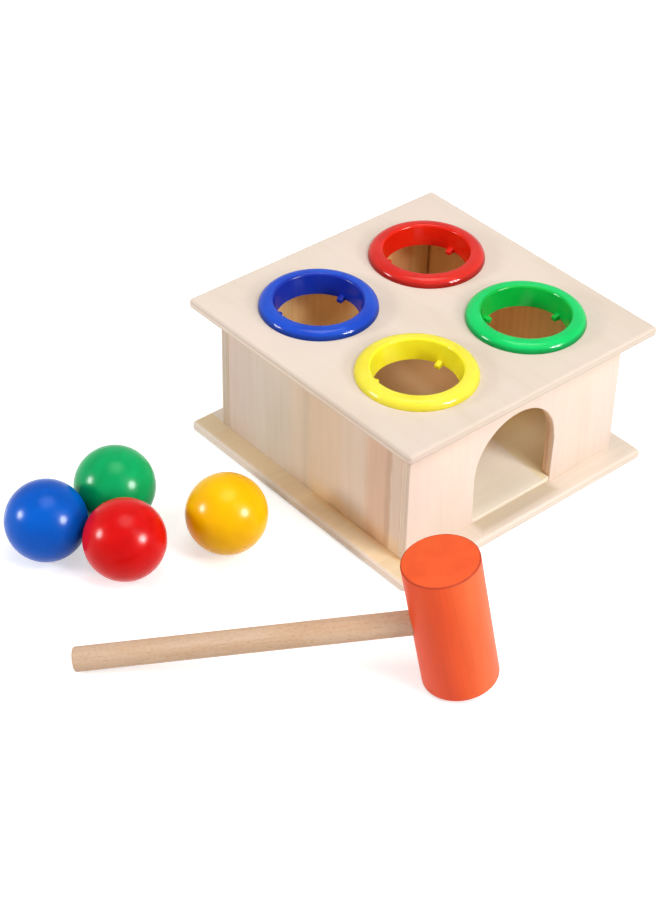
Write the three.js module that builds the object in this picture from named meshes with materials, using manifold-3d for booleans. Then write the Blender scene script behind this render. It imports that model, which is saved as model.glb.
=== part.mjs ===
// Ball pounding bench: a plywood box whose top board carries four plastic rings, a sloping floor
// that lets the balls roll out of a round-topped doorway, four wooden balls and a wooden hammer.
// Millimetres, +Z up. The origin is the middle of the base board's underside. The doorway faces -Y.

import * as THREE from 'three';
import { mergeVertices } from 'three/addons/utils/BufferGeometryUtils.js';
import Module from 'manifold-3d';

// Driving dimensions
const ballDia = 45;
const boardSide = 184;
const boardThick = 6;
const boardCorner = 2.4;
const boardRound = 2.2;
const overhang = 13;
const wallHeight = 80;
const wallThick = 6;
const doorWidth = 60;
const doorHeight = 63;
const ringPitch = 81;

// Ring sizes: a rounded rim on the board, a funnel-like skirt through it, and three nubs that
// stop a ball until it is struck
const throatClear = 0.9;
const mouthFlare = 1.5;
const rimWidth = 8.8;
const rimHeight = 5.2;
const rimWall = 1.7;
const crownFlat = 1.8;
const lipRound = 1.7;
const skirtWall = 1.4;
const skirtLip = 1.7;
const nubCount = 3;
const nubReach = 3.3;
const nubWidth = 3.4;
const nubRoot = 3.8;
const nubTip = 2.4;
const nubDrop = 1.2;

// Ramp sizes: a thin board that starts flush with the front wall and climbs to the back wall
const rampThick = 3;
const rampRise = 12;
const restDepth = 12;

// Hammer sizes: the handle stands square to the head and ends short of its far side
const headDia = 40;
const headLength = 77;
const headRound = 0.8;
const handleDia = 13;
const handleReach = 192;
const handleRound = 0.8;
const boreSkin = 11;

// Fits and cuts
const fitGap = 0.3;
const ballGap = 0.6;
const cutOverrun = 1;

// Where the loose pieces lie: out from the base board's left edge, and back from its middle
const trioOut = 103;
const trioBack = 41.7;
const loneBallOut = 47.7;
const loneBallBack = -1.9;
const hammerOut = 25.1;
const hammerFront = 60.9;

// Angles, in degrees
const trioTurn = 30.8;
const hammerTurn = 138.5;

// Facets
const ringSteps = 48;
const ballSteps = 24;
const headSteps = 40;
const handleSteps = 20;
const arcSteps = 4;

// Sizes that follow
const wallSpan = boardSide - 2 * overhang;
const innerSpan = wallSpan - 2 * wallThick;
const wallTop = boardThick + wallHeight;
const ringSeat = wallTop + boardThick;
const throatRadius = ballDia / 2 + throatClear;
const mouthRadius = throatRadius + mouthFlare;
const rimRadius = mouthRadius + rimWidth;
const skirtRadius = mouthRadius + skirtWall;
const skirtDepth = boardThick + skirtLip;
const boardHoleRadius = skirtRadius + fitGap;
const rampSlope = Math.atan(rampRise / (wallSpan - wallThick));

const rings = [
  { name: 'red', side: 1, row: 1, turn: 9 },
  { name: 'blue', side: -1, row: 1, turn: 15 },
  { name: 'green', side: 1, row: -1, turn: -6 },
  { name: 'yellow', side: -1, row: -1, turn: 15 },
];

const paints = {
  wood: { color: 0xf3e3d4, roughness: 0.6 },
  beech: { color: 0xd8b797, roughness: 0.6 },
  ringRed: { color: 0xe53f33, roughness: 0.25 },
  ringBlue: { color: 0x305bd1, roughness: 0.25 },
  ringGreen: { color: 0x28dc74, roughness: 0.25 },
  ringYellow: { color: 0xfbf35d, roughness: 0.25 },
  ballRed: { color: 0xd51311, roughness: 0.2 },
  ballBlue: { color: 0x0555be, roughness: 0.2 },
  ballGreen: { color: 0x0fa660, roughness: 0.2 },
  ballYellow: { color: 0xf7ba00, roughness: 0.2 },
  orange: { color: 0xf96537, roughness: 0.5 },
};

function material(name) {
  return new THREE.MeshStandardMaterial({ ...paints[name], metalness: 0 });
}

function piece(name, geometry, paint) {
  const mesh = new THREE.Mesh(geometry, material(paint));
  mesh.name = name;
  return mesh;
}

// Solid cutting and joining
const wasm = await Module();
wasm.setup();

function toSolid(geometry) {
  const bare = geometry.clone();
  bare.deleteAttribute('normal');
  bare.deleteAttribute('uv');
  const merged = mergeVertices(bare);
  const corners = merged.index.array;
  const triangles = [];
  for (let i = 0; i < corners.length; i += 3) {
    const [a, b, c] = corners.slice(i, i + 3);
    if (a !== b && b !== c && c !== a) triangles.push(a, b, c);
  }
  return new wasm.Manifold(new wasm.Mesh({
    numProp: 3,
    vertProperties: new Float32Array(merged.attributes.position.array),
    triVerts: new Uint32Array(triangles),
  }));
}

function toGeometry(solid) {
  const mesh = solid.getMesh();
  const geometry = new THREE.BufferGeometry();
  geometry.setAttribute('position', new THREE.BufferAttribute(new Float32Array(mesh.vertProperties), 3));
  geometry.setIndex(new THREE.BufferAttribute(new Uint32Array(mesh.triVerts), 1));
  geometry.computeVertexNormals();
  return geometry;
}

// Shapes of revolution and quarter arcs, drawn as radius and height
function revolve(outline, steps) {
  return new THREE.LatheGeometry(outline, steps).rotateX(Math.PI / 2);
}

function upright(radius, height, steps) {
  return new THREE.CylinderGeometry(radius, radius, height, steps).rotateX(Math.PI / 2);
}

function arc(centreX, centreY, halfWidth, halfHeight, from, to) {
  const points = [];
  for (let i = 0; i <= arcSteps; i += 1) {
    const angle = THREE.MathUtils.degToRad(from + (to - from) * i / arcSteps);
    points.push(new THREE.Vector2(
      centreX + halfWidth * Math.cos(angle),
      centreY + halfHeight * Math.sin(angle),
    ));
  }
  return points;
}

// Boards with rounded corners and rounded edges, lying flat with their underside at zero
function board() {
  const half = boardSide / 2;
  const inset = half - boardCorner;
  const outline = new THREE.Shape();
  outline.absarc(inset, inset, boardCorner, 0, Math.PI / 2);
  outline.absarc(-inset, inset, boardCorner, Math.PI / 2, Math.PI);
  outline.absarc(-inset, -inset, boardCorner, Math.PI, Math.PI * 1.5);
  outline.absarc(inset, -inset, boardCorner, Math.PI * 1.5, Math.PI * 2);
  outline.closePath();
  return new THREE.ExtrudeGeometry(outline, {
    depth: boardThick - 2 * boardRound,
    bevelThickness: boardRound,
    bevelSize: boardRound,
    bevelOffset: -boardRound,
    bevelSegments: arcSteps,
    curveSegments: arcSteps,
  }).translate(0, 0, boardRound);
}

function ringPlace(ring) {
  return new THREE.Vector3(ring.side * ringPitch / 2, ring.row * ringPitch / 2, ringSeat);
}

function baseBoard() {
  return piece('base_board', board(), 'wood');
}

function topBoard() {
  let solid = toSolid(board());
  for (const ring of rings) {
    const hole = upright(boardHoleRadius, boardThick + 2 * cutOverrun, ringSteps);
    const place = ringPlace(ring);
    solid = solid.subtract(toSolid(hole.translate(place.x, place.y, boardThick / 2)));
  }
  const mesh = piece('top_board', toGeometry(solid), 'wood');
  mesh.position.z = wallTop;
  return mesh;
}

// Walls: front and back span the whole width, and the side walls stand between them
function frontWall() {
  const half = wallSpan / 2;
  const doorRadius = doorWidth / 2;
  const spring = doorHeight - doorRadius;
  const outline = new THREE.Shape();
  outline.moveTo(-half, 0);
  outline.lineTo(-doorRadius, 0);
  outline.lineTo(-doorRadius, spring);
  outline.absarc(0, spring, doorRadius, Math.PI, 0, true);
  outline.lineTo(doorRadius, 0);
  outline.lineTo(half, 0);
  outline.lineTo(half, wallHeight);
  outline.lineTo(-half, wallHeight);
  outline.closePath();
  const geometry = new THREE.ExtrudeGeometry(outline, {
    depth: wallThick,
    bevelEnabled: false,
    curveSegments: ringSteps / 2,
  }).rotateX(Math.PI / 2);
  const mesh = piece('front_wall', geometry, 'wood');
  mesh.position.set(0, wallThick - half, boardThick);
  return mesh;
}

function plainWall(name, spanX, spanY) {
  const mesh = piece(name, new THREE.BoxGeometry(spanX, spanY, wallHeight), 'wood');
  mesh.position.z = boardThick + wallHeight / 2;
  return mesh;
}

function backWall() {
  const mesh = plainWall('back_wall', wallSpan, wallThick);
  mesh.position.y = (wallSpan - wallThick) / 2;
  return mesh;
}

function sideWall(name, side) {
  const mesh = plainWall(name, wallThick, innerSpan);
  mesh.position.x = side * (wallSpan - wallThick) / 2;
  return mesh;
}

// Ramp: its tongue fills the doorway, and its wide part lies between the walls
function ramp() {
  const tongueHalf = doorWidth / 2 - fitGap;
  const wideHalf = innerSpan / 2 - fitGap;
  const nose = rampThick * Math.sin(rampSlope);
  const shoulder = (wallThick + fitGap) / Math.cos(rampSlope);
  const length = (wallSpan - wallThick - fitGap - nose) / Math.cos(rampSlope);
  const outline = new THREE.Shape();
  outline.moveTo(-tongueHalf, 0);
  outline.lineTo(tongueHalf, 0);
  outline.lineTo(tongueHalf, shoulder);
  outline.lineTo(wideHalf, shoulder);
  outline.lineTo(wideHalf, length);
  outline.lineTo(-wideHalf, length);
  outline.lineTo(-wideHalf, shoulder);
  outline.lineTo(-tongueHalf, shoulder);
  outline.closePath();
  const geometry = new THREE.ExtrudeGeometry(outline, { depth: rampThick, bevelEnabled: false });
  const mesh = piece('ramp', geometry, 'wood');
  mesh.rotation.x = rampSlope;
  mesh.position.set(0, nose - wallSpan / 2, boardThick + fitGap);
  return mesh;
}

// Ramp rest: a strip along the back wall, planed to the ramp's slope
function rampRest() {
  const back = wallSpan - wallThick;
  const front = back - restDepth;
  const rise = Math.tan(rampSlope);
  const length = innerSpan - 2 * fitGap;
  const outline = new THREE.Shape();
  outline.moveTo(front, 0);
  outline.lineTo(back, 0);
  outline.lineTo(back, back * rise - fitGap);
  outline.lineTo(front, front * rise - fitGap);
  outline.closePath();
  const geometry = new THREE.ExtrudeGeometry(outline, { depth: length, bevelEnabled: false });
  geometry.rotateX(Math.PI / 2).rotateZ(Math.PI / 2);
  const mesh = piece('ramp_rest', geometry, 'wood');
  mesh.position.set(-length / 2, -wallSpan / 2, boardThick);
  return mesh;
}

// Rings: heights are measured from the top board's upper face
function ringOutline() {
  const crown = mouthRadius + lipRound + crownFlat;
  const lipCentre = mouthRadius + lipRound;
  const outline = [
    new THREE.Vector2(throatRadius, -skirtDepth),
    new THREE.Vector2(skirtRadius, -skirtDepth),
    new THREE.Vector2(skirtRadius, rimHeight - rimWall),
    new THREE.Vector2(crown, rimHeight - rimWall),
    new THREE.Vector2(rimRadius - rimWall, 0),
    ...arc(crown, 0, rimRadius - crown, rimHeight, 0, 90),
    ...arc(lipCentre, rimHeight - lipRound, lipRound, lipRound, 90, 180),
  ];
  outline.push(outline[0].clone());
  return outline;
}

// Each nub hangs a little below the skirt's lip, and its upper face slopes down to its tip
function nub() {
  const outline = new THREE.Shape();
  const root = throatRadius + skirtWall;
  const tip = throatRadius - nubReach;
  const foot = -skirtDepth - nubDrop;
  outline.moveTo(tip, foot);
  outline.lineTo(root, foot);
  outline.lineTo(root, foot + nubRoot);
  outline.lineTo(tip, foot + nubTip);
  outline.closePath();
  return new THREE.ExtrudeGeometry(outline, { depth: nubWidth, bevelEnabled: false })
    .translate(0, 0, -nubWidth / 2)
    .rotateX(Math.PI / 2);
}

function ringWithNubs(ring) {
  let solid = toSolid(revolve(ringOutline(), ringSteps));
  for (let i = 0; i < nubCount; i += 1) {
    const angle = THREE.MathUtils.degToRad(ring.turn + i * 360 / nubCount);
    solid = solid.add(toSolid(nub().rotateZ(angle)));
  }
  const paint = `ring${ring.name[0].toUpperCase()}${ring.name.slice(1)}`;
  const mesh = piece(`ring_${ring.name}`, toGeometry(solid), paint);
  mesh.position.copy(ringPlace(ring));
  return mesh;
}

// Balls: three lie in a cluster, and one lies by itself
function ball(name, x, y) {
  const geometry = new THREE.SphereGeometry(ballDia / 2, ballSteps, ballSteps / 2).rotateX(Math.PI / 2);
  const paint = `ball${name[0].toUpperCase()}${name.slice(1)}`;
  const mesh = piece(`ball_${name}`, geometry, paint);
  mesh.position.set(x, y, ballDia / 2);
  return mesh;
}

function balls() {
  const group = new THREE.Group();
  const edge = -boardSide / 2;
  const trio = ['green', 'blue', 'red'];
  const spread = (ballDia + ballGap) / Math.sqrt(3);
  trio.forEach((name, i) => {
    const angle = THREE.MathUtils.degToRad(trioTurn + i * 360 / trio.length);
    const x = edge - trioOut + spread * Math.cos(angle);
    const y = trioBack + spread * Math.sin(angle);
    group.add(ball(name, x, y));
  });
  group.add(ball('yellow', edge - loneBallOut, loneBallBack));
  return group;
}

// Hammer: the head's axis is the group's Z, and the handle runs along its X
function hammerHead() {
  const half = headLength / 2;
  const radius = headDia / 2;
  const outline = [
    new THREE.Vector2(0, -half),
    ...arc(radius - headRound, headRound - half, headRound, headRound, -90, 0),
    ...arc(radius - headRound, half - headRound, headRound, headRound, 0, 90),
    new THREE.Vector2(0, half),
  ];
  const boreRadius = handleDia / 2 + fitGap;
  const boreDepth = headDia - boreSkin + cutOverrun;
  const bore = upright(boreRadius, boreDepth, handleSteps).rotateY(Math.PI / 2);
  bore.translate(boreSkin - radius + boreDepth / 2, 0, 0);
  const solid = toSolid(revolve(outline, headSteps)).subtract(toSolid(bore));
  return piece('hammer_head', toGeometry(solid), 'orange');
}

function hammerHandle() {
  const seat = boreSkin + fitGap - headDia / 2;
  const radius = handleDia / 2;
  const outline = [
    new THREE.Vector2(0, seat),
    ...arc(radius - handleRound, seat + handleRound, handleRound, handleRound, -90, 0),
    ...arc(radius - handleRound, handleReach - handleRound, handleRound, handleRound, 0, 90),
    new THREE.Vector2(0, handleReach),
  ];
  return piece('hammer_handle', revolve(outline, handleSteps).rotateY(Math.PI / 2), 'beech');
}

// The hammer leans: its head stands on the rim below the handle, and the handle's end on the floor
function hammer() {
  const group = new THREE.Group();
  group.add(hammerHead(), hammerHandle());
  const lean = Math.atan((headLength - handleDia) / 2 / (handleReach - headDia / 2));
  const edge = headRound * (1 - Math.cos(lean) - Math.sin(lean));
  const height = headLength / 2 * Math.cos(lean) + headDia / 2 * Math.sin(lean) + edge;
  group.position.set(-boardSide / 2 - hammerOut, -boardSide / 2 - hammerFront, height);
  group.rotation.set(0, lean, THREE.MathUtils.degToRad(hammerTurn), 'ZYX');
  return group;
}

const bench = new THREE.Group();
bench.add(baseBoard(), frontWall(), backWall(), sideWall('left_wall', -1), sideWall('right_wall', 1));
bench.add(topBoard(), ramp(), rampRest());
for (const ring of rings) bench.add(ringWithNubs(ring));

const group = new THREE.Group();
group.add(bench, balls(), hammer());

export default group;
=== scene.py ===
# %% [markdown]
# # A ball pounding bench
# The real toy is a low plywood box with four plastic rings in its top board. A child strikes a
# wooden ball through a ring, it lands on a sloping floor and rolls out of a round-topped doorway.
# The solids of every piece come from an engineering model. Here each piece is made again with
# finer curves and a real finish, exactly where its solid stands.

# %% Load the frame
import math

import bmesh
import bpy
from mathutils import Euler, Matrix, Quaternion, Vector


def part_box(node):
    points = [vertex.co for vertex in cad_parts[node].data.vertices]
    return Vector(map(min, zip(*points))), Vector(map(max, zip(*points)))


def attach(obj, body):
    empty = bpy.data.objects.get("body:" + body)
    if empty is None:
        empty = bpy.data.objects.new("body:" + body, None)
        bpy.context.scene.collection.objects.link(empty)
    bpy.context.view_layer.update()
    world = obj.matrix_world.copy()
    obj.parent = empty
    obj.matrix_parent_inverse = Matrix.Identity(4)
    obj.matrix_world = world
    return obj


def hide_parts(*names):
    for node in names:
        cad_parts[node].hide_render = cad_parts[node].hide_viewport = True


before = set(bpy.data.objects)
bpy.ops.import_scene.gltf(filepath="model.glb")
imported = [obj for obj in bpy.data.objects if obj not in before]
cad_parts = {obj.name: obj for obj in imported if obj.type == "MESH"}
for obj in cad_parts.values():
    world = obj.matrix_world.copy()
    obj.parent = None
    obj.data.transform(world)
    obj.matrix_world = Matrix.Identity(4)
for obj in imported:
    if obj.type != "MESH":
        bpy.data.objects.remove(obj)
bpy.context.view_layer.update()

MM = 0.001
print("pieces of the engineering model:", len(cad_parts))

# %% [markdown]
# ## Camera
# The camera could be placed by eye, but then every edge would be a little off. Its place and its
# lens were worked out from the corners of the box, so the picture lines up edge by edge. It
# looks at a point on the floor, and a small roll tips the picture as the real camera was tipped.

# %% Camera
eye = Vector((-0.66369, -0.68243, 0.74731))
aim = Vector((-0.0754, -0.0117, 0.04))
roll = math.radians(1.337)

lens = bpy.data.cameras.new("camera")
lens.lens = 83.386
lens.sensor_width = 36.0
lens.clip_start = 0.01
camera = bpy.data.objects.new("camera", lens)
bpy.context.scene.collection.objects.link(camera)
camera.location = eye
camera.rotation_mode = "QUATERNION"
camera.rotation_quaternion = (aim - eye).to_track_quat("-Z", "Y") @ Quaternion((0, 0, 1), roll)
bpy.context.scene.camera = camera
bpy.context.scene.view_settings.view_transform = "Standard"
print("camera to object:", round((aim - eye).length, 3), "m")

# %% [markdown]
# ## Light
# The two small round glints on each ball say where two lamps stand: one low in front of the
# doorway, one low at the left and behind. The dim third glint on top is a big soft panel
# overhead. Area lamps give those round glints, where a sun lamp would give a dot. They stand
# well away, so that the near end of the box is not brighter than the far end. A wide lamp high
# in front carries light into the doorway. A photographer's flash heads are far brighter in a
# reflection than the light they shed. So the two low lamps stay out of reflections, and glint
# lamps in their places, and one overhead, are seen in reflections alone. The powers were solved
# from renders with one lamp each, so that every face gets its own brightness.

# %% Lamps
middle = Vector((-0.08, -0.02, 0.04))
low_in_front, low_at_left = (0.424, -1.496, 0.778), (-1.808, 1.037, 0.778)
overhead, nearly_overhead = (-0.08, 0.052, 2.218), (0.12, -0.12, 2.2)
high_in_front = (0.161, -1.388, 1.696)


def soft_lamp(name, place, width, power, sheds_light=True, in_gloss=True):
    """A round area lamp that looks at the middle of the scene."""
    light = bpy.data.lights.new(name, "AREA")
    light.shape = "DISK"
    light.size = width
    light.energy = power
    lamp = bpy.data.objects.new(name, light)
    lamp.location = place
    lamp.rotation_mode = "QUATERNION"
    lamp.rotation_quaternion = (middle - Vector(place)).to_track_quat("-Z", "Y")
    lamp.visible_diffuse = sheds_light
    lamp.visible_glossy = in_gloss
    bpy.context.scene.collection.objects.link(lamp)
    return lamp


soft_lamp("front_lamp", low_in_front, width=0.40, power=10.0, in_gloss=False)
soft_lamp("side_lamp", low_at_left, width=0.40, power=17.5, in_gloss=False)
soft_lamp("top_panel", overhead, width=1.35, power=11.3)
soft_lamp("high_front_lamp", high_in_front, width=0.80, power=16.8, in_gloss=False)
glint_lamps = [
    soft_lamp("front_glint", low_in_front, width=0.58, power=83.0, sheds_light=False),
    soft_lamp("side_glint", low_at_left, width=0.55, power=63.0, sheds_light=False),
    soft_lamp("top_glint", nearly_overhead, width=1.40, power=20.0, sheds_light=False),
]

# %% [markdown]
# ## Node helpers
# A finish is a small network of nodes. Adding them by hand takes many lines, so one helper adds a
# node and fills or links its sockets, and another turns everyday 0 to 255 colours into the
# linear numbers that the shader reads. The rest do sums, rescale a value, lay colours along it,
# find a place on a turned piece, and make fine relief.

# %% Helpers for nodes
def tint(red, green, blue):
    """A colour as a paint chart gives it, made linear."""
    shares = [part / 255 for part in (red, green, blue)]
    line = [s / 12.92 if s <= 0.04045 else ((s + 0.055) / 1.055) ** 2.4 for s in shares]
    return (*line, 1.0)


def grey(value):
    return (value, value, value, 1.0)


def add(tree, kind, sockets=None, **settings):
    """A new node: its settings by name, its sockets by value or by link."""
    node = tree.nodes.new(kind)
    for key, value in settings.items():
        setattr(node, key, value)
    for key, value in (sockets or {}).items():
        if isinstance(value, bpy.types.NodeSocket):
            tree.links.new(value, node.inputs[key])
        else:
            node.inputs[key].default_value = value
    return node


def calc(tree, operation, *values):
    """A sum on numbers."""
    return add(tree, "ShaderNodeMath", dict(enumerate(values)), operation=operation).outputs[0]


def vector_calc(tree, operation, *values):
    """A sum on places, which gives a place, or one number where it is a length."""
    node = add(tree, "ShaderNodeVectorMath", dict(enumerate(values)), operation=operation)
    return node.outputs["Value" if operation == "LENGTH" else "Vector"]


def rescale(tree, value, start, end, low=0.0, high=1.0, kind="LINEAR"):
    """Turns start to end into low to high; beyond them the value stays as it is there."""
    sockets = {"Value": value, "From Min": start, "From Max": end, "To Min": low, "To Max": high}
    return add(tree, "ShaderNodeMapRange", sockets, interpolation_type=kind).outputs["Result"]


print("a mid grey of 128 is", round(tint(128, 128, 128)[0], 3), "in linear numbers")

# %% Helpers for finishes
def ramp(tree, factor, stops):
    """Colours along a value from 0 to 1."""
    node = add(tree, "ShaderNodeValToRGB", {"Fac": factor})
    band = node.color_ramp
    while len(band.elements) < len(stops):
        band.elements.new(1.0)
    for element, (position, colour) in zip(band.elements, stops):
        element.position = position
        element.color = colour
    return node.outputs["Color"]


def multiply(tree, amount, first, second):
    """One colour times another; sockets 0, 6 and 7 are the amount and the two colours."""
    sockets = {0: amount, 6: first, 7: second}
    return add(tree, "ShaderNodeMix", sockets, data_type="RGBA", blend_type="MULTIPLY").outputs[2]


def object_place(tree):
    """Where a point lies, measured from the scene's origin and carried along by its piece."""
    return add(tree, "ShaderNodeTexCoord").outputs["Object"]


def own_place(tree, centre, turn):
    """Where a point lies on a piece that was turned and moved, so that its grain turns too."""
    sockets = {"Vector": object_place(tree), "Location": centre, "Rotation": turn}
    return add(tree, "ShaderNodeMapping", sockets, vector_type="TEXTURE").outputs["Vector"]


def distance_out(tree, place):
    """How far a place lies from the upright axis."""
    return vector_calc(tree, "LENGTH", vector_calc(tree, "MULTIPLY", place, (1, 1, 0)))


def relief(tree, height, strength, distance, under=None):
    """Fine bumps, with those of another relief under them."""
    sockets = {"Height": height, "Strength": strength, "Distance": distance}
    if under is not None:
        sockets["Normal"] = under
    return add(tree, "ShaderNodeBump", sockets).outputs["Normal"]


def empty_material(name):
    material = bpy.data.materials.new(name)
    material.use_nodes = True
    material.node_tree.nodes.clear()
    return material, material.node_tree


def surface(tree, colour, roughness, normal, specular, others=None):
    """The shader and the output that every finish ends in."""
    sockets = {"Base Color": colour, "Roughness": roughness, "Normal": normal,
               "Specular IOR Level": specular, **(others or {})}
    shader = add(tree, "ShaderNodeBsdfPrincipled", sockets)
    add(tree, "ShaderNodeOutputMaterial", {"Surface": shader.outputs["BSDF"]})


print("materials that came with the engineering model:", len(bpy.data.materials))

# %% [markdown]
# ## Pale wood
# Pale plywood looks plain from afar, yet it is never one colour. Broad tints drift across a
# board, growth rings cut it in long faint lines, streaks and fibres run along the grain, and a
# cut edge shows its layers. Each of these is one texture, squeezed across the grain and drawn
# out along it, and all of them are multiplied over the tint. Where hands, glue or scorching have
# left a mark, a soft-edged box round the place multiplies in a stain. The same boxes also paint
# shade or light onto some boards, and a band along a board can paint shade too.

# %% Grain
AXES = "XYZ"
ring_spacing = 4.2 * MM


def drawn_out(tree, place, along, ratio):
    """Places with the grain's direction shrunk, which draws a texture out along it."""
    scale = [1.0, 1.0, 1.0]
    scale[AXES.index(along)] = ratio
    return add(tree, "ShaderNodeMapping", {"Vector": place, "Scale": scale}).outputs["Vector"]


def noise(tree, place, scale, detail=2.0, roughness=0.5, output="Fac"):
    """A cloudy texture: a higher scale makes it finer, more detail makes it busier."""
    sockets = {"Vector": place, "Scale": scale, "Detail": detail, "Roughness": roughness}
    return add(tree, "ShaderNodeTexNoise", sockets).outputs[output]


def growth_rings(tree, place, along, heart, tilt):
    """Rings round a heart line that lies outside the board and leans a little against it."""
    wander = noise(tree, drawn_out(tree, place, along, 0.12), scale=26.0, output="Color")
    bent = vector_calc(tree, "MULTIPLY_ADD", wander, [12 * MM] * 3, place)
    moved = {"Vector": bent, "Location": [-c * MM for c in heart], "Rotation": tilt}
    turned = add(tree, "ShaderNodeMapping", moved).outputs["Vector"]
    wave = {"Vector": turned, "Scale": 2 * math.pi / (20 * ring_spacing), "Distortion": 0.0}
    return add(tree, "ShaderNodeTexWave", wave, wave_type="RINGS", rings_direction=along,
               wave_profile="SAW").outputs["Fac"]


print("five growth rings take", round(5 * ring_spacing / MM, 1), "mm")

# %% Layers and strips
def share_along(tree, place, axis, low, high, wobble):
    """How far a place lies from low to high along an axis, from 0 to 1, a little unevenly."""
    along = add(tree, "ShaderNodeSeparateXYZ", {"Vector": place}).outputs[axis]
    uneven = calc(tree, "MULTIPLY_ADD", noise(tree, place, scale=60.0), 2 * wobble, along)
    return rescale(tree, uneven, low + wobble, high + wobble)


def ply_stops(depth, veneer):
    """Five plies: the second and fourth run the other way, so a cut edge shows them darker."""
    face, cross = grey(1.0), (1.0 - depth, 1.0 - 1.25 * depth, 1.0 - 1.6 * depth, 1.0)
    glue = tuple(c * (1.0 - depth) for c in cross[:3]) + (1.0,)
    stops = [(0.0, face), (0.19, face), (0.205, glue), (0.225, cross), (0.375, cross)]
    stops += [(0.395, glue), (0.41, face), (0.59, face), (0.605, glue), (0.625, cross)]
    stops += [(0.775, cross), (0.795, glue), (0.81, face), (0.955, face), (0.975, veneer)]
    return stops


def in_a_box(tree, place, low, high, soft):
    """1 inside a box, fading to 0 over a short way outside it; all its sizes are in mm."""
    low, high = Vector(low) * MM, Vector(high) * MM
    away = vector_calc(tree, "ABSOLUTE", vector_calc(tree, "SUBTRACT", place, (low + high) / 2))
    over = vector_calc(tree, "SUBTRACT", away, (high - low) / 2)
    x, y, z = add(tree, "ShaderNodeSeparateXYZ", {"Vector": over}).outputs
    most = calc(tree, "MAXIMUM", calc(tree, "MAXIMUM", x, y), z)
    return rescale(tree, most, 0.0, soft * MM, low=1.0, high=0.0, kind="SMOOTHSTEP")


strip_wobble, ply_wobble, ply_depth = 1.2 * MM, 0.08 * MM, 0.07
# tan is the inner faces' veneer: partly its real colour, partly painted bounce light, as it is
# warmer and brighter in red than the wood itself
tan = (1.15, 0.90, 0.50, 1.0)
print("stops across a cut edge:", len(ply_stops(ply_depth, tan)))

# %% The wood finish
tone_places = (0.30, 0.5, 0.70)
ring_stops = [(0.0, grey(1.0)), (0.72, (0.972, 0.958, 0.935, 1.0)),
              (1.0, (0.925, 0.89, 0.845, 1.0))]
streak_stops = [(0.30, (0.945, 0.915, 0.88, 1.0)), (0.52, grey(1.0)), (0.75, grey(1.03))]
fibre_stops = [(0.32, (0.93, 0.905, 0.88, 1.0)), (0.5, grey(1.0)), (1.0, grey(1.0))]


def wood(name, along, tones, heart, tilt=(0.0, 0.0, 0.0), figure=1.0, plies=None, strips=None,
         stains_and_shade=(), shift=0.0):
    """A finish for one board: its grain's direction, its tints and where its heart line lies."""
    material, tree = empty_material(name)
    place = object_place(tree)
    own = add(tree, "ShaderNodeMapping", {"Vector": place, "Location": [shift] * 3}).outputs[0]
    drift = noise(tree, drawn_out(tree, own, along, 0.3), scale=24.0, detail=3.0, roughness=0.55)
    rings = growth_rings(tree, own, along, heart, tilt)
    long_way = drawn_out(tree, own, along, 0.028)
    streaks = noise(tree, long_way, scale=230.0, detail=3.0, roughness=0.6)
    longest_way = drawn_out(tree, own, along, 0.018)
    fibres = noise(tree, longest_way, scale=1500.0, roughness=0.6)
    colour = ramp(tree, drift, list(zip(tone_places, tones)))
    if strips:
        axis, low, high, stops = strips
        share = share_along(tree, place, axis, low, high, strip_wobble)
        colour = multiply(tree, 1.0, colour, ramp(tree, share, stops))
    figures = [(rings, ring_stops, 0.75), (streaks, streak_stops, 0.8), (fibres, fibre_stops, 0.6)]
    for texture, stops, strength in figures:
        colour = multiply(tree, strength * figure, colour, ramp(tree, texture, stops))
    if plies:
        axis, outer, inner, veneer = plies
        share = share_along(tree, place, axis, outer, inner, ply_wobble)
        colour = multiply(tree, 1.0, colour, ramp(tree, share, ply_stops(ply_depth, veneer)))
    # Each box multiplies in a stain, or painted shade, or painted light.
    for mark_low, mark_high, soft, shade in stains_and_shade:
        share = in_a_box(tree, place, mark_low, mark_high, soft)
        colour = multiply(tree, share, colour, (*shade, 1.0))
    rough = rescale(tree, fibres, 0.0, 1.0, low=0.50, high=0.68)
    fuzz = relief(tree, fibres, strength=0.16, distance=0.12 * MM)
    surface(tree, colour, rough, fuzz, specular=0.2)
    return material


cream = [tint(234, 217, 196), tint(240, 225, 207), tint(242, 224, 209)]
rosy = [tint(238, 219, 201), tint(243, 225, 209), tint(245, 223, 210)]
warm = [tint(236, 220, 203), tint(243, 230, 216), tint(244, 229, 217)]
sand = [tint(231, 213, 195), tint(237, 221, 205), tint(239, 220, 207)]
honey = [tint(225, 200, 170), tint(235, 214, 188), tint(236, 211, 187)]
# palest is the floor's wood: paler than the boards, partly painted light for the lit floor in the
# doorway
palest = [tint(246, 233, 214), tint(250, 240, 222), tint(251, 239, 223)]
print("the middle cream in linear numbers:", [round(c, 2) for c in cream[1][:3]])

# %% [markdown]
# ## Shaping helpers
# Blocks are shaped as by hand: add a primitive at its size and place, go into edit mode, pick
# edges or faces, and bevel or extrude them. By hand the picking is done with the mouse. Here a
# small test on where the corners lie picks the same parts every time.

# %% Pick and shape
SLACK = 0.02 * MM


def clear():
    """Object mode with nothing selected, so that an operator reaches only what comes next."""
    if bpy.context.mode != "OBJECT":
        bpy.ops.object.mode_set(mode="OBJECT")
    bpy.ops.object.select_all(action="DESELECT")


def only(obj):
    clear()
    obj.select_set(True)
    bpy.context.view_layer.objects.active = obj


def edit(obj):
    only(obj)
    bpy.ops.object.mode_set(mode="EDIT")


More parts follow.
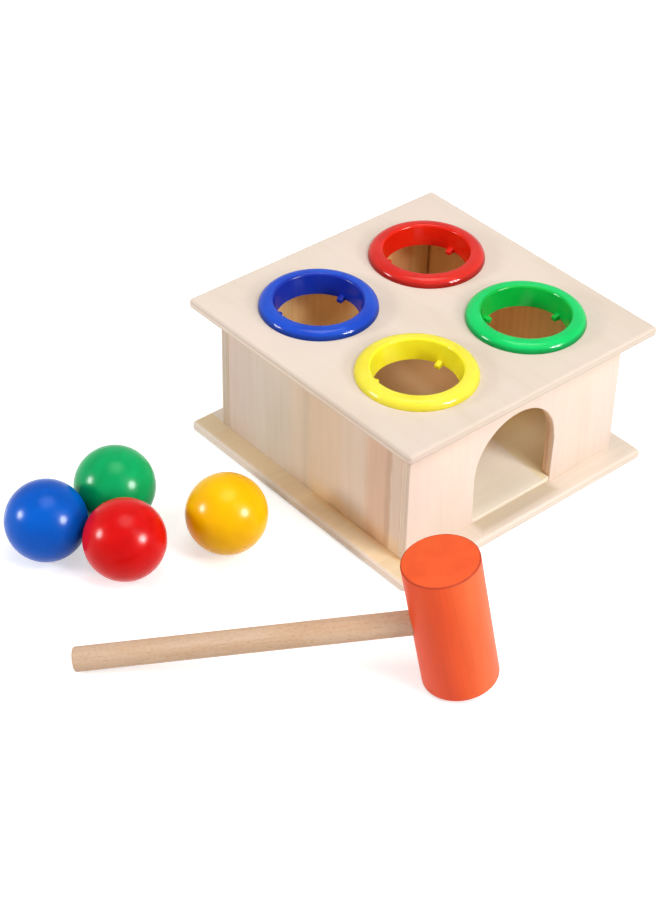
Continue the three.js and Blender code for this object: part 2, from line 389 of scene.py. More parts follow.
def pick(kind, test):
    """Selects the parts of a kind whose corners pass the test, and counts them."""
    bpy.ops.mesh.select_mode(type=kind)
    bpy.ops.mesh.select_all(action="DESELECT")
    mesh = bpy.context.object.data
    shape = bmesh.from_edit_mesh(mesh)
    parts = {"VERT": shape.verts, "EDGE": shape.edges, "FACE": shape.faces}[kind]
    found = 0
    for part in parts:
        corners = [part.co] if kind == "VERT" else [v.co for v in part.verts]
        if test(corners):
            part.select_set(True)
            found += 1
    shape.select_flush_mode()
    bmesh.update_edit_mesh(mesh)
    return found


def near(a, b, slack=SLACK):
    return abs(a - b) < slack


def bake_place():
    """Moves the object's place, turn and size into its mesh."""
    bpy.ops.object.transform_apply(location=True, rotation=True, scale=True)


def block(name, low, high):
    """A block from its lowest to its highest corner."""
    clear()
    centre, size = (low + high) / 2, high - low
    bpy.ops.mesh.primitive_cube_add(size=1, location=centre, scale=size)
    bake_place()
    bpy.context.object.name = name
    return bpy.context.object


def ease(obj, test, width, steps):
    """Rounds the edges that pass the test."""
    edit(obj)
    found = pick("EDGE", test)
    bpy.ops.mesh.bevel(offset=width, segments=steps, affect="EDGES")
    bpy.ops.object.mode_set(mode="OBJECT")
    return found


def use_tool(obj, tool, operation):
    """Cuts one piece with another, or joins them, and throws the tool away."""
    only(obj)
    bpy.ops.object.modifier_add(type="BOOLEAN")
    change = obj.modifiers[-1]
    change.operation = operation
    change.solver = "MANIFOLD"
    change.object = tool
    bpy.ops.object.modifier_apply(modifier=change.name)
    bpy.data.objects.remove(tool)


def finish(obj, body, node, material, crease=32.0):
    """Smooths a piece, gives it its finish and sets it in the place of its solid."""
    only(obj)
    bpy.ops.object.shade_smooth_by_angle(angle=math.radians(crease))
    obj.data.materials.clear()
    obj.data.materials.append(material)
    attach(obj, body)
    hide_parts(node)
    print(obj.name, "has", len(obj.data.polygons), "faces")
    return obj


print("slack for picking:", SLACK / MM, "mm")

# %% [markdown]
# ## Base and top boards
# Both boards have small round corners and rounded-over edges, which catch the light as a bright
# line all round. A bevel modifier could round everything at once, but the corners and the edges
# have different radii, so the four upright edges are bevelled first and the two rims after.

# %% Boards
def is_upright(corners):
    a, b = corners
    return near(a.x, b.x) and near(a.y, b.y)


def rims(low, high):
    def on_a_rim(corners):
        return all(near(c.z, low.z) for c in corners) or all(near(c.z, high.z) for c in corners)
    return on_a_rim


def board(name, node, corner=2.4 * MM, round_over=2.2 * MM):
    low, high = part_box(node)
    made = block(name, low, high)
    ease(made, is_upright, corner, steps=8)
    ease(made, rims(low, high), round_over, steps=6)
    return made, low, high


base, base_low, base_high = board("base", "base_board")
top, top_low, top_high = board("top", "top_board")
print("top board in mm:", [round(c / MM, 1) for c in top_high - top_low])

# %% Holes for the rings
ring_turns = {"red": 9.0, "blue": 15.0, "green": -6.0, "yellow": 15.0}
hole_radius, cutter_depth = 26.6 * MM, 20 * MM
ring_centre = {}
for colour_name in ring_turns:
    ring_low, ring_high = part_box("ring_" + colour_name)
    ring_centre[colour_name] = (ring_low + ring_high) / 2
    clear()
    spot = (*ring_centre[colour_name].xy, (top_low.z + top_high.z) / 2)
    bpy.ops.mesh.primitive_cylinder_add(vertices=96, radius=hole_radius, depth=cutter_depth,
                                        location=spot)
    bake_place()
    use_tool(top, bpy.context.object, "DIFFERENCE")
print("holes cut:", len(ring_centre))

# %% Finish of the boards
# A stain, a painted shade or a painted light is written as its box's lowest and highest corner
# and how far it fades, all in mm, and then its shade.
base_painted_shade = [
    # painted shade: the left ledge, warmer and darker in the wall's shade
    ((-89.5, -95, 5), (-79, 95, 7), 1.5, (0.99, 0.91, 0.70)),
    # painted shade along the left wall's foot, in the front half
    ((-80, -79, 5), (-79, -5, 7), 3.0, (1.0, 0.91, 0.78)),
    # painted shade on the ledge before the doorway, where no wall throws light back
    ((-26, -84, 5), (26, -79, 7), 6.0, (0.80, 0.77, 0.68)),
]
base_wood = wood("pale_wood_base", "X", warm, heart=(10.0, 14.0, -70.0), tilt=(0.0, 0.03, 0.05),
                 figure=0.5, plies=("Z", base_high.z, base_low.z, grey(1.0)),
                 stains_and_shade=base_painted_shade, shift=0.31)
top_edge_painted_light_and_shade = [
    # painted shade on the left edge's upper round-over
    ((-94, -95, 90.4), (-90.6, 95, 91.6), 0.5, (0.90, 0.89, 0.88)),
    # painted highlight on the middle of the left edge
    ((-94, -95, 88.1), (-91, 95, 89.4), 0.5, (1.08, 1.08, 1.08)),
    # painted shade along the left edge's lower arris
    ((-94, -95, 85), (-90, 95, 86.9), 0.5, (0.74, 0.68, 0.60)),
]
# painted shade: the top board darker towards its front end, where the lamps light it more
top_painted_shade_stops = [(0.0, (0.92, 0.915, 0.905, 1.0)), (0.25, (0.95, 0.945, 0.94, 1.0)),
             (0.5, (0.985, 0.985, 0.98, 1.0)), (0.7, grey(1.0)), (1.0, grey(1.0))]
top_wood = wood("pale_wood_top", "Y", sand, heart=(-30.0, 0.0, -120.0), tilt=(0.035, 0.0, 0.04),
                figure=0.25, plies=("Z", top_high.z, top_low.z, tan),
                strips=("Y", top_low.y, top_high.y, top_painted_shade_stops), stains_and_shade=top_edge_painted_light_and_shade, shift=0.07)
finish(base, "bench", "base_board", base_wood)
finish(top, "bench", "top_board", top_wood)

# %% [markdown]
# ## Walls
# The front and back walls run the full width, and the side walls stand between them. Each wall
# is a block with barely eased edges, so that a hairline of shade shows where two of them meet.
# The left wall's veneer is pieced together: each strip has its own tint from one share of the
# wall's length to another, and neighbours run into each other over a short way. The doorway is
# cut by a round-topped tool: a cylinder is bisected at its middle, and its flat underside is
# extruded down past the wall's foot.

# %% Side and back walls
hairline = 0.35 * MM


def any_edge(corners):
    return True


def wall(name, node, material):
    made = block(name, *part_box(node))
    ease(made, any_edge, hairline, steps=2)
    return finish(made, "bench", node, material)


back_low, back_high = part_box("back_wall")
back_stains_and_shade = [
    ((-80, 73, 5), (-78.5, 80, 87), 0.4, (0.84, 0.83, 0.84)),
    # painted shade: the back wall's inside, browner towards the right end
    ((46, 72, 40), (57, 74, 90), 6.0, (0.93, 0.72, 0.68)),
]
back_wood = wood("pale_wood_back", "Z", cream, heart=(20.0, 140.0, 0.0), tilt=(0.03, 0.02, 0.0),
                 plies=("Y", back_high.y, back_low.y, tan), stains_and_shade=back_stains_and_shade, shift=0.53)
right_low, right_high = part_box("right_wall")
# darker along the inside corner where the right wall meets the back wall
right_corner_dark = [((72, 71.5, 5), (74, 74, 87), 1.5, (0.55, 0.46, 0.38))]
right_wood = wood("pale_wood_right", "Z", cream, heart=(160.0, -25.0, 0.0),
                  tilt=(0.02, 0.03, 0.0), plies=("X", right_high.x, right_low.x, tan),
                  stains_and_shade=right_corner_dark, shift=0.77)
wall("back", "back_wall", back_wood)
wall("right", "right_wall", right_wood)

# %% Left wall
left_low, left_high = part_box("left_wall")
strip_tints = {
    "pale": tint(250, 246, 246), "brown": tint(229, 211, 199), "rosy": tint(243, 225, 216),
    "even": tint(246, 242, 240), "honey": tint(245, 236, 227), "dull": tint(236, 231, 224),
    "cool": tint(242, 243, 247), "mauve": tint(239, 231, 235),
}
wall_strips = [("pale", 0.0, 0.05), ("brown", 0.06, 0.075), ("rosy", 0.09, 0.17),
               ("even", 0.205, 0.30), ("honey", 0.36, 0.50), ("dull", 0.53, 0.535),
               ("even", 0.565, 0.60), ("cool", 0.65, 0.80), ("mauve", 0.96, 1.0)]
strip_stops = []
for strip_tint, start, end in wall_strips:
    strip_stops += [(start, strip_tints[strip_tint]), (end, strip_tints[strip_tint])]
# painted warm light along the left wall's foot: lighter in red and green, less blue
foot_painted_light = ((-80, -73, 5), (-78, -5, 12), 8.0, (1.07, 1.01, 0.86))
left_wood = wood("pale_wood_left", "Z", cream, heart=(-150.0, 30.0, 0.0),
                 tilt=(0.02, -0.03, 0.0), figure=0.4, plies=("X", left_low.x, left_high.x, tan),
                 strips=("Y", left_low.y, left_high.y, strip_stops), stains_and_shade=[foot_painted_light],
                 shift=0.19)
wall("left", "left_wall", left_wood)
print("strips in the left wall:", len(wall_strips))

# %% Front wall and its doorway
door_half, door_height = 30.0 * MM, 63.0 * MM
tool_depth, tool_overrun, margin = 40 * MM, 10 * MM, 0.1 * MM


def round_topped_tool(radius, spring, floor, low, high):
    """A tool as wide as the doorway, round above the spring line and straight below it."""
    clear()
    centre = (0.0, (low.y + high.y) / 2, spring)
    bpy.ops.mesh.primitive_cylinder_add(vertices=128, radius=radius, depth=tool_depth,
                                        location=centre, rotation=(math.radians(90), 0, 0))
    bake_place()
    tool = bpy.context.object
    edit(tool)
    bpy.ops.mesh.select_all(action="SELECT")
    bpy.ops.mesh.bisect(plane_co=centre, plane_no=(0, 0, 1), use_fill=True, clear_inner=True)
    pick("FACE", lambda corners: all(near(c.z, spring) for c in corners))
    bpy.ops.mesh.extrude_region_move(TRANSFORM_OT_translate={"value": (0, 0, floor - spring)})
    bpy.ops.mesh.select_all(action="SELECT")
    bpy.ops.mesh.normals_make_consistent(inside=False)
    bpy.ops.object.mode_set(mode="OBJECT")
    return tool


front_low, front_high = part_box("front_wall")
door_top = front_low.z + door_height
front = block("front", front_low, front_high)
ease(front, any_edge, hairline, steps=2)
door_tool = round_topped_tool(door_half, door_top - door_half, front_low.z - tool_overrun,
                              front_low, front_high)
use_tool(front, door_tool, "DIFFERENCE")


def on_the_doorway(corners):
    """Edges of the opening on the wall's two faces."""
    on_a_face = any(all(near(c.y, y) for c in corners) for y in (front_low.y, front_high.y))
    inside = all(abs(c.x) < door_half + margin and c.z < door_top + margin for c in corners)
    return on_a_face and inside and all(c.z > front_low.z + hairline + margin for c in corners)


rounded = ease(front, on_the_doorway, 0.6 * MM, steps=3)
front_stains_and_light = [
    ((-80, -78.6, 5), (-78.5, -72, 87), 0.3, (0.88, 0.89, 0.86)),
    # painted light: the doorway's cut edge made lighter where it lies in shade
    ((-31, -78.3, 5), (31, -72, 70), 0.4, (1.16, 1.07, 0.90)),
    ((-31, -75.6, 5), (31, -72, 70), 1.2, (0.82, 0.74, 0.66)),
]
front_wood = wood("pale_wood_front", "Z", rosy, heart=(-20.0, -150.0, 0.0),
                  tilt=(-0.03, 0.02, 0.0), figure=0.3, plies=("Y", front_low.y, front_high.y, tan),
                  stains_and_shade=front_stains_and_light, shift=0.41)
finish(front, "bench", "front_wall", front_wood)
print("doorway edges rounded:", rounded)

# %% [markdown]
# ## Sloping floor
# A thin board starts flush with the front wall in the doorway and climbs to the back wall, where
# a planed strip carries it. It is cut as a T: the wide part fills the box, and a tongue as
# wide as the doorway reaches to the front. The block is bisected twice, and the face between the
# cuts is extruded into the tongue, before the whole board is tipped to its slope.

# %% Sloping floor
floor_thick, floor_rise, floor_run = 3.0 * MM, 12.0 * MM, 152.0 * MM
wall_thick, wall_face, inner_half, play = 6.0 * MM, 79.0 * MM, 73.0 * MM, 0.3 * MM
slope = math.atan(floor_rise / floor_run)
shoulder = (wall_thick + play) / math.cos(slope)
nose = floor_thick * math.sin(slope)
floor_long = (floor_run - play - nose) / math.cos(slope)
tongue_half, wide_half = door_half - play, inner_half - play


def between_the_cuts(corners):
    return all(near(c.y, shoulder) and abs(c.x) < tongue_half + margin for c in corners)


floor_board = block("floor_board", Vector((-wide_half, shoulder, 0)),
                    Vector((wide_half, floor_long, floor_thick)))
edit(floor_board)
for side in (-tongue_half, tongue_half):
    bpy.ops.mesh.select_all(action="SELECT")
    bpy.ops.mesh.bisect(plane_co=(side, 0, 0), plane_no=(1, 0, 0))
pick("FACE", between_the_cuts)
bpy.ops.mesh.extrude_region_move(TRANSFORM_OT_translate={"value": (0, -shoulder, 0)})
bpy.ops.object.mode_set(mode="OBJECT")
ease(floor_board, lambda corners: all(near(c.y, 0) for c in corners), 0.5 * MM, steps=3)
floor_board.rotation_euler = (slope, 0, 0)
floor_board.location = (0, nose - wall_face, base_high.z + play)
only(floor_board)
bake_place()
print("slope:", round(math.degrees(slope), 1), "degrees")

# %% Finish of the floor
floor_low, floor_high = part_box("ramp")
# painted shade: the floor darker and browner the deeper it lies in the box
depth_painted_shade_stops = [(0.0, grey(1.0)), (0.22, grey(1.0)), (0.36, (1.0, 0.89, 0.70, 1.0)),
               (0.55, (0.90, 0.73, 0.47, 1.0)), (1.0, (0.86, 0.67, 0.40, 1.0))]
floor_painted_shade = [
    # painted shade on the floor behind the doorway's right side, browner in the wall's shadow
    ((28, -76, 0), (80, -20, 30), 4.0, (0.97, 0.92, 0.69)),
    # painted shade on the far right of the floor, darker and browner
    ((34, 0, 0), (80, 80, 30), 14.0, (0.80, 0.68, 0.58)),
]
floor_wood = wood("pale_wood_floor", "X", palest, heart=(0.0, 30.0, -90.0),
                  tilt=(0.0, 0.04, 0.03), figure=0.3,
                  strips=("Y", floor_low.y, floor_high.y, depth_painted_shade_stops), stains_and_shade=floor_painted_shade,
                  shift=0.93)
finish(floor_board, "bench", "ramp", floor_wood)

# %% Strip under the floor's back edge
rest_low, rest_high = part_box("ramp_rest")
rest = block("floor_rest", rest_low, rest_high)
edit(rest)
pick("VERT", lambda corners: near(corners[0].y, rest_low.y) and near(corners[0].z, rest_high.z))
drop = (rest_high.y - rest_low.y) * math.tan(slope)
bpy.ops.transform.translate(value=(0, 0, -drop))
bpy.ops.object.mode_set(mode="OBJECT")
ease(rest, any_edge, 0.3 * MM, steps=2)
rest_wood = wood("pale_wood_rest", "X", honey, heart=(0.0, 90.0, -20.0), tilt=(0.0, 0.03, 0.03),
                 shift=0.67)
finish(rest, "bench", "ramp_rest", rest_wood)

# %% [markdown]
# ## Rings
# Each ring is moulded in one shot: a hollow rounded rim that lies on the board, a skirt that goes
# down through the hole, and three small nubs that hold a ball until it is struck. A torus would
# miss the flat-topped rim and the funnel inside. So a circle is extruded and resized from one
# point of the outline to the next, as a potter pulls a wall up, and the last loop meets the first.

# %% Outline of a ring
throat, mouth, skirt, crown, rim = 23.4, 24.9, 26.3, 28.4, 33.7
skirt_foot, hollow_top, rim_top = -7.7, 3.5, 5.2
foot_round, rim_round, lip_round, rim_wall = 0.4, 0.2, 1.7, 1.7


def curve_points(centre, radii, start, end, steps):
    """Points on part of an ellipse, in mm from the ring's axis and from the board."""
    turns = [math.radians(start + (end - start) * i / steps) for i in range(steps + 1)]
    return [(centre[0] + radii[0] * math.cos(t), centre[1] + radii[1] * math.sin(t)) for t in turns]


outline = curve_points((throat + foot_round, skirt_foot + foot_round), (foot_round, foot_round),
                       180, 270, 4)
outline += curve_points((skirt - foot_round, skirt_foot + foot_round), (foot_round, foot_round),
                        270, 360, 4)
outline += [(skirt, hollow_top), (crown, hollow_top), (rim - rim_wall, 0.0)]
outline += curve_points((rim - rim_round, rim_round), (rim_round, rim_round), 270, 360, 3)
outline += curve_points((crown, rim_round), (rim - crown, rim_top - rim_round), 3, 90, 18)
outline += curve_points((mouth + lip_round, rim_top - lip_round), (lip_round, lip_round),
                        90, 180, 10)
print("points in the outline:", len(outline))

# %% Body of a ring
ring_sides = 144


def ring_body(name, centre, seat):
    """Pulls a circle along the outline."""
    clear()
    radius, height = outline[0]
    spot = Vector((centre.x, centre.y, seat + height * MM))
    bpy.ops.mesh.primitive_circle_add(vertices=ring_sides, radius=radius * MM, location=spot)
    bake_place()
    made = bpy.context.object
    made.name = name
    edit(made)
    for (r, z), (next_r, next_z) in zip(outline, outline[1:] + outline[:1]):
        step = {"value": (0, 0, (next_z - z) * MM)}
        bpy.ops.mesh.extrude_region_move(TRANSFORM_OT_translate=step)
        if not near(next_r, r, 1e-6):
            share = next_r / r
            middle_of_loop = (centre.x, centre.y, seat + next_z * MM)
            bpy.ops.transform.resize(value=(share, share, 1), center_override=middle_of_loop)
    bpy.ops.mesh.select_all(action="SELECT")
    bpy.ops.mesh.remove_doubles(threshold=0.01 * MM)
    bpy.ops.mesh.normals_make_consistent(inside=False)
    bpy.ops.object.mode_set(mode="OBJECT")
    return made


ring_pieces = {}
for colour_name in ring_turns:
    ring_pieces[colour_name] = ring_body("ring_piece_" + colour_name, ring_centre[colour_name],
                                         top_high.z)
print("faces in a ring without nubs:", len(ring_pieces["red"].data.polygons))

# %% Nubs
nub_low, nub_high = Vector((20.1, -1.7, -8.9)) * MM, Vector((24.4, 1.7, -5.1)) * MM
nub_count, nub_fall, nub_round = 3, 1.4 * MM, 0.55 * MM


def nub(centre, seat, angle):
    """A small rounded tab at the skirt's foot, whose top slopes down to its tip."""
    made = block("nub", nub_low, nub_high)
    edit(made)
    pick("VERT", lambda corners: near(corners[0].x, nub_low.x) and near(corners[0].z, nub_high.z))
    bpy.ops.transform.translate(value=(0, 0, -nub_fall))
    bpy.ops.object.mode_set(mode="OBJECT")
    ease(made, lambda corners: any(near(c.x, nub_low.x) for c in corners), nub_round, steps=3)
    made.rotation_euler = (0, 0, math.radians(angle))
    made.location = (centre.x, centre.y, seat)
    only(made)
    bake_place()
    return made


for colour_name, turn in ring_turns.items():
    for i in range(nub_count):
        tab = nub(ring_centre[colour_name], top_high.z, turn + 360 / nub_count * i)
        use_tool(ring_pieces[colour_name], tab, "UNION")
print("rings:", len(ring_pieces), "with", nub_count, "nubs each")

# %% [markdown]
# ## Moulded plastic
# The rings are bright and glossy, yet a moulded surface is not a mirror: it has a faint orange
# peel and fine rubbing marks, and its colour thins a little in patches. Two soft noises give
# those, one to the gloss and one to the relief. The plastic is a little clear. Painted shade
# darkens the thin foot of the rim and the inside of the funnel. How far a place lies from the
# ring's axis says which of the two it is.

# %% Plastic finish
brink_band, throat_band = (32.4 * MM, 33.6 * MM), (26.4 * MM, 25.6 * MM)


def plastic(name, centre, colour, deep, brink_painted_shade, throat_painted_shade):
    """Moulded plastic, with painted shade at the rim's foot and inside the funnel."""
    material, tree = empty_material(name)
    place = object_place(tree)
    patches = noise(tree, place, scale=55.0, detail=3.0)
    body = ramp(tree, patches, [(0.30, deep), (0.62, colour)])
    out = distance_out(tree, vector_calc(tree, "SUBTRACT", place, centre))
    # painted shade at the rim's foot and down in the funnel
    body = multiply(tree, rescale(tree, out, *brink_band), body, grey(brink_painted_shade))
    body = multiply(tree, rescale(tree, out, *throat_band), body, (*throat_painted_shade, 1.0))
    scuffs = noise(tree, place, scale=900.0, detail=4.0, roughness=0.65)
    gloss = rescale(tree, scuffs, 0.35, 0.75, low=0.08, high=0.18)
    peel = relief(tree, noise(tree, place, scale=420.0), strength=0.10, distance=0.1 * MM)
    clear_plastic = {"IOR": 1.49, "Subsurface Weight": 0.06, "Subsurface Scale": 2 * MM}
    surface(tree, body, gloss, peel, specular=0.15, others=clear_plastic)
    return material


# Each ring's colour, its deeper patches, and its painted shade at the brink and in the throat
ring_looks = {
    "red": (tint(224, 46, 34), tint(214, 34, 26), 0.45, (1.1, 0.7, 0.3)),
    "blue": (tint(28, 82, 206), tint(22, 68, 194), 0.45, (0.8, 0.45, 0.72)),
    "green": (tint(14, 214, 108), tint(8, 202, 98), 0.45, (0.6, 0.8, 0.42)),
    "yellow": (tint(249, 236, 74), tint(245, 226, 52), 0.85, (1.06, 1.1, 0.5)),
}
for colour_name, made in ring_pieces.items():
    look = plastic("ring_plastic_" + colour_name, ring_centre[colour_name],
                   *ring_looks[colour_name])
    finish(made, "bench", "ring_" + colour_name, look)

# %% [markdown]
# ## Balls
# A turned wooden ball is almost a perfect sphere, but not quite: the lathe leaves a small flat
# where it held each end, and a few knocks dent it. A fine sphere is flattened at its two poles,
# a few points are pressed in with soft falloff, and then it is rolled to its own turn, so that no
# two balls show the same marks.

# %% One ball
pole_angle, pole_squash = math.radians(11.0), 0.25
dent_width, same_spot = 3.0 * MM, 0.3 * MM
dents = [(0.25, (0.62, -0.55, 0.56)), (0.18, (-0.3, 0.8, 0.52)), (0.22, (0.1, -0.75, -0.65))]


def turned_ball(name, centre, radius, roll_angles):
    """A sphere with two flats and a few dents, whose depths are in mm."""
    clear()
    bpy.ops.mesh.primitive_uv_sphere_add(segments=96, ring_count=64, radius=radius)
    made = bpy.context.object
    made.name = name
    edit(made)
    cap = radius * math.cos(pole_angle)
    for end in (1, -1):
        pick("VERT", lambda corners: corners[0].z * end > cap)
        bpy.ops.transform.resize(value=(1, 1, pole_squash), center_override=(0, 0, end * cap))
    for depth, direction in dents:
        spot = Vector(direction).normalized() * radius
        shape = bmesh.from_edit_mesh(made.data)
        nearest = min(shape.verts, key=lambda v: (v.co - spot).length).co.copy()
        pick("VERT", lambda corners: (corners[0] - nearest).length < same_spot)
        bpy.ops.transform.translate(value=-nearest.normalized() * depth * MM,
                                    use_proportional_edit=True,
                                    proportional_edit_falloff="SMOOTH",
                                    proportional_size=dent_width)
    bpy.ops.object.mode_set(mode="OBJECT")
    made.rotation_euler = roll_angles
    made.location = centre
    only(made)
    bake_place()
    return made


print("dents in each ball:", len(dents))

# %% [markdown]
# ## Gloss paint on wood
# The balls are dipped in gloss paint. It follows the grain beneath as faint parallel ripples,
# is a touch darker where it ran thicker, and carries dust specks. The gloss is a little soft, so
# the round lamps show as small bright discs with a blurred edge.

# %% Paint for the balls
def ball_paint(name, colour, deep, centre, roll_angles):
    material, tree = empty_material(name)
    own = own_place(tree, centre, roll_angles)
    runs = noise(tree, drawn_out(tree, own, "Z", 0.4), scale=70.0, detail=3.0)
    body = ramp(tree, runs, [(0.32, deep), (0.60, colour)])
    grain = noise(tree, drawn_out(tree, own, "Z", 0.05), scale=900.0)
    dust = rescale(tree, noise(tree, own, scale=1600.0, detail=1.0), 0.70, 0.80)
    gloss = rescale(tree, grain, 0.0, 1.0, low=0.19, high=0.27)
    ripples = relief(tree, grain, strength=0.12, distance=0.06 * MM)
    specks = relief(tree, dust, strength=0.15, distance=0.05 * MM, under=ripples)
    surface(tree, body, gloss, specks, specular=0.11, others={"IOR": 1.5})
    return material


ball_colours = {
    "red": (tint(226, 16, 14), tint(210, 8, 8)),
    "blue": (tint(0, 94, 203), tint(0, 82, 186)),
    "green": (tint(6, 176, 100), tint(2, 158, 86)),
    "yellow": (tint(253, 196, 0), tint(247, 182, 0)),
}
ball_rolls = {"red": (0.5, 0.3, 0.2), "blue": (1.9, 0.4, 1.1), "green": (1.1, -0.7, 2.3),
              "yellow": (2.4, 0.8, 0.6)}
ball_pieces = []
for colour_name, roll_angles in ball_rolls.items():
    ball_low, ball_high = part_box("ball_" + colour_name)
    centre = (ball_low + ball_high) / 2
    radius = (ball_high.z - ball_low.z) / 2
    made = turned_ball("ball_piece_" + colour_name, centre, radius, roll_angles)
    paint = ball_paint("ball_paint_" + colour_name, *ball_colours[colour_name], centre, roll_angles)
    finish(made, colour_name + "_ball", "ball_" + colour_name, paint)
    ball_pieces.append(made)

# %% [markdown]
# ## Hammer
# The head is a short thick rod with barely broken rims, and the handle is a dowel in a blind
# bore. The hammer leans: it stands on the lower rim of its head and on the handle's far end. It
# is easiest to model it upright at the origin, and to turn the finished pieces into place.

# %% Where the hammer lies
head_long, head_wide, handle_wide, handle_reach = 77.0 * MM, 39.9 * MM, 13.0 * MM, 191.9 * MM
rim_break = 0.8 * MM
lean = math.atan((head_long - handle_wide) / 2 / (handle_reach - head_wide / 2))
broken = rim_break * (1 - math.cos(lean) - math.sin(lean))
head_height = head_long / 2 * math.cos(lean) + head_wide / 2 * math.sin(lean) + broken
hammer_turn = Euler((0, lean, math.radians(138.5)), "XYZ")
hammer_place = Vector((-117.1 * MM, -152.9 * MM, head_height))


def lay_down(obj):
    obj.rotation_euler = hammer_turn
    obj.location = hammer_place
    only(obj)
    bake_place()


def rod(name, radius, start, end, sides=64):
    """A rod that lies along X."""
    clear()
    bpy.ops.mesh.primitive_cylinder_add(vertices=sides, radius=radius, depth=end - start,
                                        location=((start + end) / 2, 0, 0),
                                        rotation=(0, math.radians(90), 0))
    bake_place()
    bpy.context.object.name = name
    return bpy.context.object


print("lean:", round(math.degrees(lean), 1), "degrees")

# %% Head
bore_start, bore_end = -9.0 * MM, 31.0 * MM
clear()
bpy.ops.mesh.primitive_cylinder_add(vertices=144, radius=head_wide / 2, depth=head_long)
head = bpy.context.object
head.name = "hammer_head_piece"
ease(head, lambda corners: all(near(abs(c.z), head_long / 2) for c in corners), rim_break, steps=5)
use_tool(head, rod("bore", handle_wide / 2 + play, bore_start, bore_end), "DIFFERENCE")
lay_down(head)
print("head in mm:", round(head_wide / MM, 1), "across and", round(head_long / MM, 1), "long")

# %% Handle
handle_seat = -8.7 * MM
handle = rod("hammer_handle_piece", handle_wide / 2, handle_seat, handle_reach)
ease(handle, lambda corners: all(near(c.x, handle_reach) for c in corners), rim_break, steps=4)
lay_down(handle)
print("handle in mm:", round((handle_reach - handle_seat) / MM, 1))

# %% Paint for the head
head_grain = [(0.30, grey(0.93)), (0.5, grey(1.0))]
painted_light_stops = [(0.0, (0.95, 0.74, 0.50, 1.0)), (0.4, (1.0, 0.86, 0.75, 1.0)), (0.6, grey(1.0)),
         (1.0, (1.0, 1.40, 2.0, 1.0))]
painted_light_band = (6.0 * MM, -12.0 * MM)
end_band = (head_long / 2 - 1.0 * MM, head_long / 2 - 0.3 * MM)
rim_band = (head_wide / 2 - 1.1 * MM, head_wide / 2 - 0.3 * MM)


def head_paint(name):
    """Satin paint over grain: rubbed and painted darker on the rims, dull on the ends, and with
    painted light and shade across its side.
    """
    material, tree = empty_material(name)
    own = own_place(tree, hammer_place, hammer_turn)
    across, _, up = add(tree, "ShaderNodeSeparateXYZ", {"Vector": own}).outputs
    near_end = rescale(tree, calc(tree, "ABSOLUTE", up), *end_band)
    runs = noise(tree, drawn_out(tree, own, "Z", 0.25), scale=90.0, detail=3.0)
    body = ramp(tree, runs, [(0.30, tint(234, 82, 24)), (0.62, tint(241, 90, 30))])
    long_way = drawn_out(tree, own, "Z", 0.03)
    grain = noise(tree, long_way, scale=850.0, detail=3.0, roughness=0.6)
    body = multiply(tree, 0.8, body, ramp(tree, grain, head_grain))
    # painted light and shade: lighter and paler towards the lit side, darker and redder on the
    # other
    toward_lit_side = rescale(tree, across, *painted_light_band)
    on_side = calc(tree, "SUBTRACT", 1.0, near_end)
    body = multiply(tree, on_side, body, ramp(tree, toward_lit_side, painted_light_stops))
    # the rims: partly paint rubbed through, partly painted shade along them
    edge = rescale(tree, distance_out(tree, own), *rim_band)
    worn_and_shaded = calc(tree, "MULTIPLY", edge, near_end)
    body = multiply(tree, worn_and_shaded, body, tint(196, 160, 140))
    side_gloss = rescale(tree, grain, 0.0, 1.0, low=0.36, high=0.50)
    gloss = calc(tree, "MULTIPLY_ADD", near_end, 0.40, side_gloss)
    ripples = relief(tree, grain, strength=0.2, distance=0.08 * MM)
    surface(tree, body, gloss, ripples, specular=0.26)
    return material


finish(head, "hammer", "hammer_head", head_paint("hammer_paint"))

# %% [markdown]
# ## Beech
# The handle is bare beech, a little pinker and darker than the boards. Beech is known by its
# flecks: thousands of short dark dashes along the grain. A noise drawn out only a little gives
# dashes, and a sharp ramp keeps the darkest of them.

# %% Beech for the handle
beech_tones = [tint(207, 169, 137), tint(214, 180, 149), tint(219, 187, 160)]
beech_streaks = [(0.3, grey(0.90)), (0.55, grey(1.0))]
beech_flecks = [(0.34, tint(226, 206, 190)), (0.46, grey(1.0)), (1.0, grey(1.0))]


def beech(name):
    material, tree = empty_material(name)
    own = own_place(tree, hammer_place, hammer_turn)
    drift = noise(tree, drawn_out(tree, own, "X", 0.15), scale=120.0, detail=3.0)
    long_way = drawn_out(tree, own, "X", 0.02)
    streaks = noise(tree, long_way, scale=700.0, detail=3.0, roughness=0.6)
    dashes = noise(tree, drawn_out(tree, own, "X", 0.22), scale=2400.0, detail=1.0)
    colour = ramp(tree, drift, list(zip(tone_places, beech_tones)))
    colour = multiply(tree, 0.8, colour, ramp(tree, streaks, beech_streaks))
    colour = multiply(tree, 0.5, colour, ramp(tree, dashes, beech_flecks))
    rough = rescale(tree, streaks, 0.0, 1.0, low=0.46, high=0.62)
    pores = relief(tree, dashes, strength=0.25, distance=0.1 * MM)
    surface(tree, colour, rough, pores, specular=0.2)
    return material


finish(handle, "hammer", "hammer_handle", beech("beech"))

# %% [markdown]
# ## Keep the glints off the bare wood
# Seen from low down, even dull wood mirrors a flash head as a white glare that hides its grain.
# A photographer holds a card in the way. Here light linking does the same: the lamps that are
# seen only in gloss reach the plastic and the painted pieces, and leave the bare wood alone.

# %% Light linking
glossy_pieces = bpy.data.collections.new("glossy_pieces")
for piece in (*ring_pieces.values(), *ball_pieces, head):
    glossy_pieces.objects.link(piece)
for lamp in glint_lamps:
    lamp.light_linking.receiver_collection = glossy_pieces

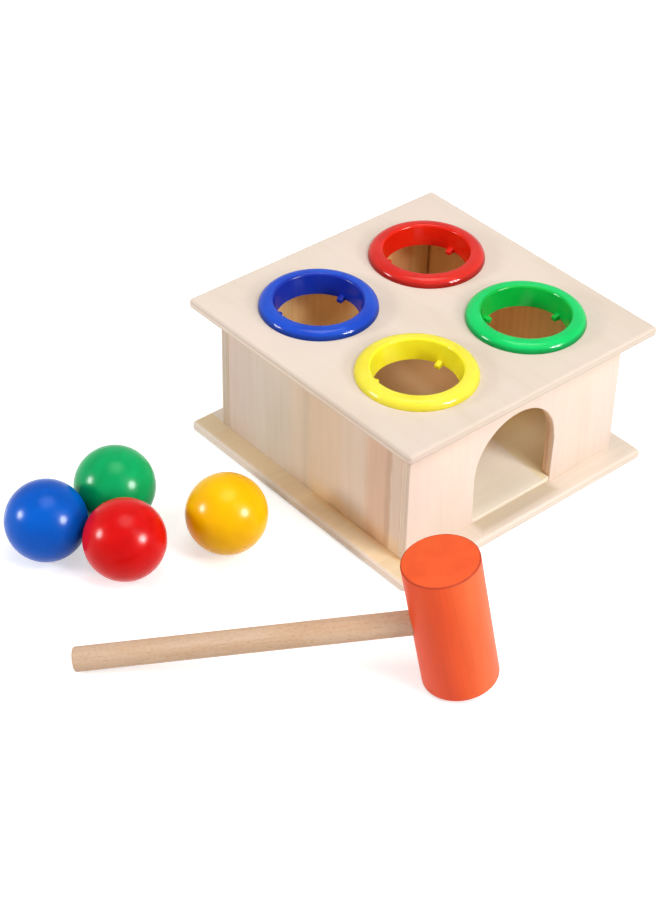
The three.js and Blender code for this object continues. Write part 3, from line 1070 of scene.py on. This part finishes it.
# %% [markdown]
# ## Floor and backdrop
# The floor is white paper. Round the toy it is lit as the toy is and keeps the toy's soft shadow,
# and a little of its own white is added for the camera and for reflections. Farther out, where
# the lamps no longer reach, it fades to plain white, so that it meets the white backdrop
# without a line. The world lights the toy gently, and looks plain white itself.

# %% Paper floor
paper_wide, paper_drop, fade_start, fade_end = 8.0, 0.2 * MM, 0.6, 1.4


def seen_directly(tree):
    """1 for the camera, for reflections and for what is seen through glass, otherwise 0."""
    path = add(tree, "ShaderNodeLightPath").outputs
    direct = calc(tree, "MAXIMUM", path["Is Camera Ray"], path["Is Glossy Ray"])
    return calc(tree, "MAXIMUM", direct, path["Is Transmission Ray"])


def glow(tree, kind, strength):
    """Plain white light, from a surface or from the world."""
    return add(tree, kind, {"Color": grey(1.0), "Strength": strength}).outputs[0]


def blend(tree, share, first, second):
    return add(tree, "ShaderNodeMixShader", {"Fac": share, 1: first, 2: second}).outputs["Shader"]


clear()
bpy.ops.mesh.primitive_plane_add(size=paper_wide, location=(0, 0, -paper_drop))
paper = bpy.context.object
paper.name = "paper_floor"
paper_material, tree = empty_material("white_paper")
spot_on_floor = object_place(tree)
white = ramp(tree, noise(tree, spot_on_floor, scale=9.0), [(0.3, grey(0.80)), (0.7, grey(0.82))])
diffuse = add(tree, "ShaderNodeBsdfDiffuse", {"Color": white}).outputs["BSDF"]
brightened = {0: diffuse, 1: glow(tree, "ShaderNodeEmission", 0.55)}
lit = add(tree, "ShaderNodeAddShader", brightened).outputs["Shader"]
far_out = vector_calc(tree, "LENGTH", spot_on_floor)
fade_out = rescale(tree, far_out, fade_start, fade_end, kind="SMOOTHSTEP")
shown = blend(tree, fade_out, lit, glow(tree, "ShaderNodeEmission", 1.0))
both_ways = blend(tree, seen_directly(tree), diffuse, shown)
add(tree, "ShaderNodeOutputMaterial", {"Surface": both_ways})
paper.data.materials.append(paper_material)
print("the floor fades to plain white from", fade_start, "to", fade_end, "m out")

# %% White room
world = bpy.data.worlds.new("white_room")
bpy.context.scene.world = world
world.use_nodes = True
tree = world.node_tree
tree.nodes.clear()
gentle, plain = (glow(tree, "ShaderNodeBackground", strength) for strength in (0.33, 1.0))
room = blend(tree, seen_directly(tree), gentle, plain)
add(tree, "ShaderNodeOutputWorld", {"Surface": room})
print("nodes in the world:", len(tree.nodes))

# %% [markdown]
# ## At the end
# The finer pieces may not be bigger than the solids that they stand for. The last cell leaves
# nothing selected.

# %% Leave nothing selected
clear()
